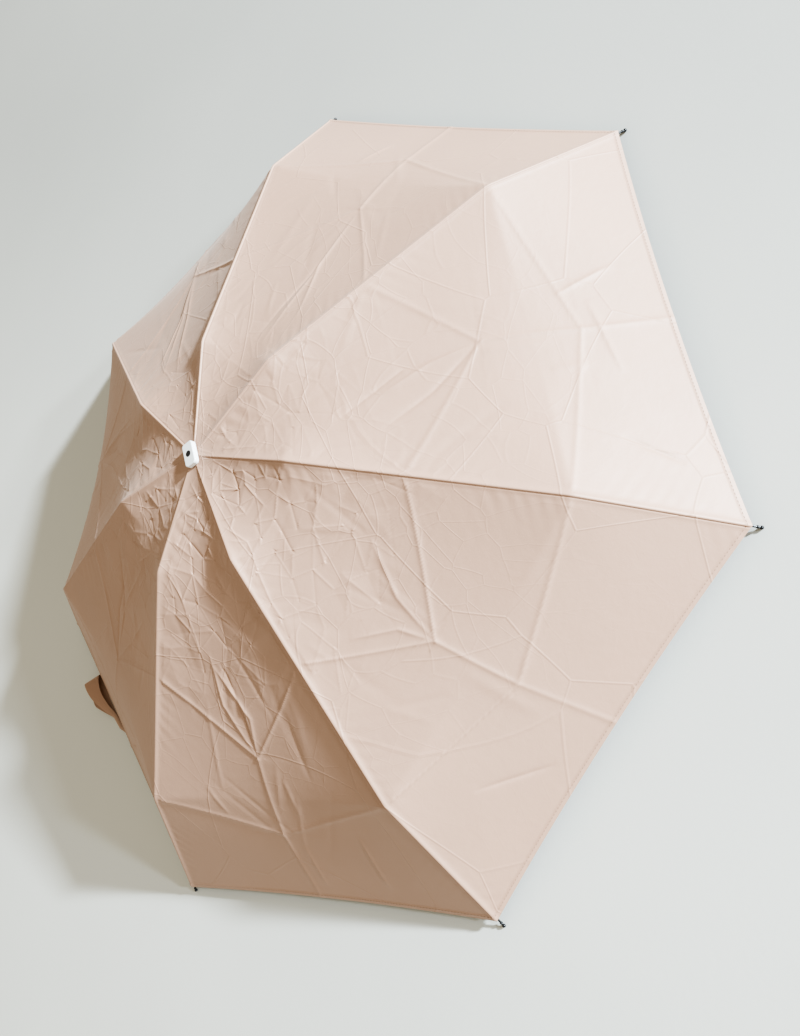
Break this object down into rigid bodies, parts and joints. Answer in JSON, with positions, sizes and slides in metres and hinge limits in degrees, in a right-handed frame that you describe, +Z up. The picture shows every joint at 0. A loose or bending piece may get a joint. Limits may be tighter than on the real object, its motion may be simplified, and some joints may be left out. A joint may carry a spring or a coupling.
{
  "type": "folding umbrella",
  "caption": "Open folding umbrella with a panelled satin canopy on jointed folding ribs, a telescopic shaft, a sliding runner and a short flat handle.",
  "frame": {"origin": "centre of the handle's flat base, on the shaft's axis", "axes": "+Z up the shaft to the cap; rib 1 points along -Y and the ribs are numbered anticlockwise from above"},
  "size_m": [0.8806, 0.8586, 0.196],
  "materials": {
    "canopy_fabric": "satin polyester, rose beige",
    "washer_fabric": "matt woven",
    "cap_white": "gloss",
    "handle_white": "gloss",
    "shaft_steel": "satin",
    "wire_steel": "satin",
    "frame_plastic": "moulded",
    "button_plastic": "moulded",
    "outer_rib": "glass-fibre rod with moulded tip",
    "rib_steel": "satin"
  },
  "bodies": {
    "handle": {"handle_shell": "handle_white", "handle_base": "handle_white", "tube_4": "shaft_steel"},
    "tube_3": {"tube_3": "shaft_steel"},
    "tube_2": {"tube_2": "shaft_steel"},
    "crown": {"tube_1": "shaft_steel", "crown_notch": "frame_plastic", "crown_wire": "wire_steel", "crown_washer": "washer_fabric", "cap_stud": "wire_steel", "top_cap": "cap_white", "canopy_panel_1": "canopy_fabric", "canopy_panel_2": "canopy_fabric", "canopy_panel_3": "canopy_fabric", "canopy_panel_4": "canopy_fabric", "canopy_panel_5": "canopy_fabric", "canopy_panel_6": "canopy_fabric", "canopy_panel_7": "canopy_fabric", "closing_strap": "canopy_fabric"},
    "runner": {"runner_body": "frame_plastic", "runner_wire": "wire_steel"},
    "button": {"runner_button": "button_plastic"},
    "rib_1_inner": {"rib_1_inner": "rib_steel"},
    "rib_1_second": {"rib_1_second": "rib_steel"},
    "rib_1_third": {"rib_1_third": "rib_steel"},
    "rib_1_outer": {"rib_1_outer": "outer_rib"},
    "stretcher_1": {"stretcher_1": "rib_steel"},
    "rib_2_inner": {"rib_2_inner": "rib_steel"},
    "rib_2_second": {"rib_2_second": "rib_steel"},
    "rib_2_third": {"rib_2_third": "rib_steel"},
    "rib_2_outer": {"rib_2_outer": "outer_rib"},
    "stretcher_2": {"stretcher_2": "rib_steel"},
    "rib_3_inner": {"rib_3_inner": "rib_steel"},
    "rib_3_second": {"rib_3_second": "rib_steel"},
    "rib_3_third": {"rib_3_third": "rib_steel"},
    "rib_3_outer": {"rib_3_outer": "outer_rib"},
    "stretcher_3": {"stretcher_3": "rib_steel"},
    "rib_4_inner": {"rib_4_inner": "rib_steel"},
    "rib_4_second": {"rib_4_second": "rib_steel"},
    "rib_4_third": {"rib_4_third": "rib_steel"},
    "rib_4_outer": {"rib_4_outer": "outer_rib"},
    "stretcher_4": {"stretcher_4": "rib_steel"},
    "rib_5_inner": {"rib_5_inner": "rib_steel"},
    "rib_5_second": {"rib_5_second": "rib_steel"},
    "rib_5_third": {"rib_5_third": "rib_steel"},
    "rib_5_outer": {"rib_5_outer": "outer_rib"},
    "stretcher_5": {"stretcher_5": "rib_steel"},
    "rib_6_inner": {"rib_6_inner": "rib_steel"},
    "rib_6_second": {"rib_6_second": "rib_steel"},
    "rib_6_third": {"rib_6_third": "rib_steel"},
    "rib_6_outer": {"rib_6_outer": "outer_rib"},
    "stretcher_6": {"stretcher_6": "rib_steel"},
    "rib_7_inner": {"rib_7_inner": "rib_steel"},
    "rib_7_second": {"rib_7_second": "rib_steel"},
    "rib_7_third": {"rib_7_third": "rib_steel"},
    "rib_7_outer": {"rib_7_outer": "outer_rib"},
    "stretcher_7": {"stretcher_7": "rib_steel"}
  },
  "joints": [
    {"name": "tube_3_slide", "type": "slide", "parent": "handle", "child": "tube_3", "axis": [0, 0, 1], "range_m": [0, 0.1]},
    {"name": "tube_2_slide", "type": "slide", "parent": "tube_3", "child": "tube_2", "axis": [0, 0, 1], "range_m": [0, 0.1]},
    {"name": "tube_1_slide", "type": "slide", "parent": "tube_2", "child": "crown", "axis": [0, 0, 1], "range_m": [0, 0.1]},
    {"name": "runner_slide", "type": "slide", "parent": "crown", "child": "runner", "axis": [0, 0, -1], "range_m": [0, 0.06125], "deforming": ["canopy_panel_1", "canopy_panel_2", "canopy_panel_3", "canopy_panel_4", "canopy_panel_5", "canopy_panel_6", "canopy_panel_7", "closing_strap"]},
    {"name": "button_press", "type": "slide", "parent": "runner", "child": "button", "axis": [0, -1, 0], "range_m": [0, 0.0012], "stiffness_N_per_m": 800},
    {"name": "rib_1_crown_hinge", "type": "hinge", "parent": "crown", "child": "rib_1_inner", "pos_m": [0, -0.011, 0.186], "axis": [1, 0, 0], "range_deg": [0, 79.91]},
    {"name": "rib_1_first_knee", "type": "hinge", "parent": "rib_1_inner", "child": "rib_1_second", "pos_m": [0, -0.1125, 0.182], "axis": [1, 0, 0], "range_deg": [-196.31, 0]},
    {"name": "rib_1_middle_hinge", "type": "hinge", "parent": "rib_1_second", "child": "rib_1_third", "pos_m": [0, -0.21087, 0.14136], "axis": [1, 0, 0], "range_deg": [0, 179.01]},
    {"name": "rib_1_second_knee", "type": "hinge", "parent": "rib_1_third", "child": "rib_1_outer", "pos_m": [0, -0.3385, 0.096], "axis": [1, 0, 0], "range_deg": [-197.71, 0]},
    {"name": "stretcher_1_hinge", "type": "hinge", "parent": "runner", "child": "stretcher_1", "pos_m": [0, -0.011, 0.145], "axis": [1, 0, 0], "range_deg": [-42.4, 0]},
    {"name": "rib_2_crown_hinge", "type": "hinge", "parent": "crown", "child": "rib_2_inner", "pos_m": [0.0086, -0.00686, 0.186], "axis": [0.6235, 0.7818, 0], "range_deg": [0, 79.91]},
    {"name": "rib_2_first_knee", "type": "hinge", "parent": "rib_2_inner", "child": "rib_2_second", "pos_m": [0.08796, -0.07014, 0.182], "axis": [0.6235, 0.7818, 0], "range_deg": [-196.31, 0]},
    {"name": "rib_2_middle_hinge", "type": "hinge", "parent": "rib_2_second", "child": "rib_2_third", "pos_m": [0.16487, -0.13148, 0.14136], "axis": [0.6235, 0.7818, 0], "range_deg": [0, 179.01]},
    {"name": "rib_2_second_knee", "type": "hinge", "parent": "rib_2_third", "child": "rib_2_outer", "pos_m": [0.26465, -0.21105, 0.096], "axis": [0.6235, 0.7818, 0], "range_deg": [-197.71, 0]},
    {"name": "stretcher_2_hinge", "type": "hinge", "parent": "runner", "child": "stretcher_2", "pos_m": [0.0086, -0.00686, 0.145], "axis": [0.6235, 0.7818, 0], "range_deg": [-42.4, 0]},
    {"name": "rib_3_crown_hinge", "type": "hinge", "parent": "crown", "child": "rib_3_inner", "pos_m": [0.01072, 0.00245, 0.186], "axis": [-0.2225, 0.9749, 0], "range_deg": [0, 79.91]},
    {"name": "rib_3_first_knee", "type": "hinge", "parent": "rib_3_inner", "child": "rib_3_second", "pos_m": [0.10968, 0.02503, 0.182], "axis": [-0.2225, 0.9749, 0], "range_deg": [-196.31, 0]},
    {"name": "rib_3_middle_hinge", "type": "hinge", "parent": "rib_3_second", "child": "rib_3_third", "pos_m": [0.20559, 0.04692, 0.14136], "axis": [-0.2225, 0.9749, 0], "range_deg": [0, 179.01]},
    {"name": "rib_3_second_knee", "type": "hinge", "parent": "rib_3_third", "child": "rib_3_outer", "pos_m": [0.33001, 0.07532, 0.096], "axis": [-0.2225, 0.9749, 0], "range_deg": [-197.71, 0]},
    {"name": "stretcher_3_hinge", "type": "hinge", "parent": "runner", "child": "stretcher_3", "pos_m": [0.01072, 0.00245, 0.145], "axis": [-0.2225, 0.9749, 0], "range_deg": [-42.4, 0]},
    {"name": "rib_4_crown_hinge", "type": "hinge", "parent": "crown", "child": "rib_4_inner", "pos_m": [0.00477, 0.00991, 0.186], "axis": [-0.901, 0.4339, 0], "range_deg": [0, 79.91]},
    {"name": "rib_4_first_knee", "type": "hinge", "parent": "rib_4_inner", "child": "rib_4_second", "pos_m": [0.04881, 0.10136, 0.182], "axis": [-0.901, 0.4339, 0], "range_deg": [-196.31, 0]},
    {"name": "rib_4_middle_hinge", "type": "hinge", "parent": "rib_4_second", "child": "rib_4_third", "pos_m": [0.09149, 0.18999, 0.14136], "axis": [-0.901, 0.4339, 0], "range_deg": [0, 179.01]},
    {"name": "rib_4_second_knee", "type": "hinge", "parent": "rib_4_third", "child": "rib_4_outer", "pos_m": [0.14687, 0.30498, 0.096], "axis": [-0.901, 0.4339, 0], "range_deg": [-197.71, 0]},
    {"name": "stretcher_4_hinge", "type": "hinge", "parent": "runner", "child": "stretcher_4", "pos_m": [0.00477, 0.00991, 0.145], "axis": [-0.901, 0.4339, 0], "range_deg": [-42.4, 0]},
    {"name": "rib_5_crown_hinge", "type": "hinge", "parent": "crown", "child": "rib_5_inner", "pos_m": [-0.00477, 0.00991, 0.186], "axis": [-0.901, -0.4339, 0], "range_deg": [0, 79.91]},
    {"name": "rib_5_first_knee", "type": "hinge", "parent": "rib_5_inner", "child": "rib_5_second", "pos_m": [-0.04881, 0.10136, 0.182], "axis": [-0.901, -0.4339, 0], "range_deg": [-196.31, 0]},
    {"name": "rib_5_middle_hinge", "type": "hinge", "parent": "rib_5_second", "child": "rib_5_third", "pos_m": [-0.09149, 0.18999, 0.14136], "axis": [-0.901, -0.4339, 0], "range_deg": [0, 179.01]},
    {"name": "rib_5_second_knee", "type": "hinge", "parent": "rib_5_third", "child": "rib_5_outer", "pos_m": [-0.14687, 0.30498, 0.096], "axis": [-0.901, -0.4339, 0], "range_deg": [-197.71, 0]},
    {"name": "stretcher_5_hinge", "type": "hinge", "parent": "runner", "child": "stretcher_5", "pos_m": [-0.00477, 0.00991, 0.145], "axis": [-0.901, -0.4339, 0], "range_deg": [-42.4, 0]},
    {"name": "rib_6_crown_hinge", "type": "hinge", "parent": "crown", "child": "rib_6_inner", "pos_m": [-0.01072, 0.00245, 0.186], "axis": [-0.2225, -0.9749, 0], "range_deg": [0, 79.91]},
    {"name": "rib_6_first_knee", "type": "hinge", "parent": "rib_6_inner", "child": "rib_6_second", "pos_m": [-0.10968, 0.02503, 0.182], "axis": [-0.2225, -0.9749, 0], "range_deg": [-196.31, 0]},
    {"name": "rib_6_middle_hinge", "type": "hinge", "parent": "rib_6_second", "child": "rib_6_third", "pos_m": [-0.20559, 0.04692, 0.14136], "axis": [-0.2225, -0.9749, 0], "range_deg": [0, 179.01]},
    {"name": "rib_6_second_knee", "type": "hinge", "parent": "rib_6_third", "child": "rib_6_outer", "pos_m": [-0.33001, 0.07532, 0.096], "axis": [-0.2225, -0.9749, 0], "range_deg": [-197.71, 0]},
    {"name": "stretcher_6_hinge", "type": "hinge", "parent": "runner", "child": "stretcher_6", "pos_m": [-0.01072, 0.00245, 0.145], "axis": [-0.2225, -0.9749, 0], "range_deg": [-42.4, 0]},
    {"name": "rib_7_crown_hinge", "type": "hinge", "parent": "crown", "child": "rib_7_inner", "pos_m": [-0.0086, -0.00686, 0.186], "axis": [0.6235, -0.7818, 0], "range_deg": [0, 79.91]},
    {"name": "rib_7_first_knee", "type": "hinge", "parent": "rib_7_inner", "child": "rib_7_second", "pos_m": [-0.08796, -0.07014, 0.182], "axis": [0.6235, -0.7818, 0], "range_deg": [-196.31, 0]},
    {"name": "rib_7_middle_hinge", "type": "hinge", "parent": "rib_7_second", "child": "rib_7_third", "pos_m": [-0.16487, -0.13148, 0.14136], "axis": [0.6235, -0.7818, 0], "range_deg": [0, 179.01]},
    {"name": "rib_7_second_knee", "type": "hinge", "parent": "rib_7_third", "child": "rib_7_outer", "pos_m": [-0.26465, -0.21105, 0.096], "axis": [0.6235, -0.7818, 0], "range_deg": [-197.71, 0]},
    {"name": "stretcher_7_hinge", "type": "hinge", "parent": "runner", "child": "stretcher_7", "pos_m": [-0.0086, -0.00686, 0.145], "axis": [0.6235, -0.7818, 0], "range_deg": [-42.4, 0]}
  ],
  "couplings": [
    {"joint": "rib_1_crown_hinge", "follows": "runner_slide", "rad_per_m": 22.768},
    {"joint": "rib_1_first_knee", "follows": "runner_slide", "rad_per_m": -55.936},
    {"joint": "rib_1_middle_hinge", "follows": "runner_slide", "rad_per_m": 51.006},
    {"joint": "rib_1_second_knee", "follows": "runner_slide", "rad_per_m": -56.335},
    {"joint": "stretcher_1_hinge", "follows": "runner_slide", "rad_per_m": -12.079},
    {"joint": "rib_2_crown_hinge", "follows": "runner_slide", "rad_per_m": 22.768},
    {"joint": "rib_2_first_knee", "follows": "runner_slide", "rad_per_m": -55.936},
    {"joint": "rib_2_middle_hinge", "follows": "runner_slide", "rad_per_m": 51.006},
    {"joint": "rib_2_second_knee", "follows": "runner_slide", "rad_per_m": -56.335},
    {"joint": "stretcher_2_hinge", "follows": "runner_slide", "rad_per_m": -12.079},
    {"joint": "rib_3_crown_hinge", "follows": "runner_slide", "rad_per_m": 22.768},
    {"joint": "rib_3_first_knee", "follows": "runner_slide", "rad_per_m": -55.936},
    {"joint": "rib_3_middle_hinge", "follows": "runner_slide", "rad_per_m": 51.006},
    {"joint": "rib_3_second_knee", "follows": "runner_slide", "rad_per_m": -56.335},
    {"joint": "stretcher_3_hinge", "follows": "runner_slide", "rad_per_m": -12.079},
    {"joint": "rib_4_crown_hinge", "follows": "runner_slide", "rad_per_m": 22.768},
    {"joint": "rib_4_first_knee", "follows": "runner_slide", "rad_per_m": -55.936},
    {"joint": "rib_4_middle_hinge", "follows": "runner_slide", "rad_per_m": 51.006},
    {"joint": "rib_4_second_knee", "follows": "runner_slide", "rad_per_m": -56.335},
    {"joint": "stretcher_4_hinge", "follows": "runner_slide", "rad_per_m": -12.079},
    {"joint": "rib_5_crown_hinge", "follows": "runner_slide", "rad_per_m": 22.768},
    {"joint": "rib_5_first_knee", "follows": "runner_slide", "rad_per_m": -55.936},
    {"joint": "rib_5_middle_hinge", "follows": "runner_slide", "rad_per_m": 51.006},
    {"joint": "rib_5_second_knee", "follows": "runner_slide", "rad_per_m": -56.335},
    {"joint": "stretcher_5_hinge", "follows": "runner_slide", "rad_per_m": -12.079},
    {"joint": "rib_6_crown_hinge", "follows": "runner_slide", "rad_per_m": 22.768},
    {"joint": "rib_6_first_knee", "follows": "runner_slide", "rad_per_m": -55.936},
    {"joint": "rib_6_middle_hinge", "follows": "runner_slide", "rad_per_m": 51.006},
    {"joint": "rib_6_second_knee", "follows": "runner_slide", "rad_per_m": -56.335},
    {"joint": "stretcher_6_hinge", "follows": "runner_slide", "rad_per_m": -12.079},
    {"joint": "rib_7_crown_hinge", "follows": "runner_slide", "rad_per_m": 22.768},
    {"joint": "rib_7_first_knee", "follows": "runner_slide", "rad_per_m": -55.936},
    {"joint": "rib_7_middle_hinge", "follows": "runner_slide", "rad_per_m": 51.006},
    {"joint": "rib_7_second_knee", "follows": "runner_slide", "rad_per_m": -56.335},
    {"joint": "stretcher_7_hinge", "follows": "runner_slide", "rad_per_m": -12.079}
  ]
}
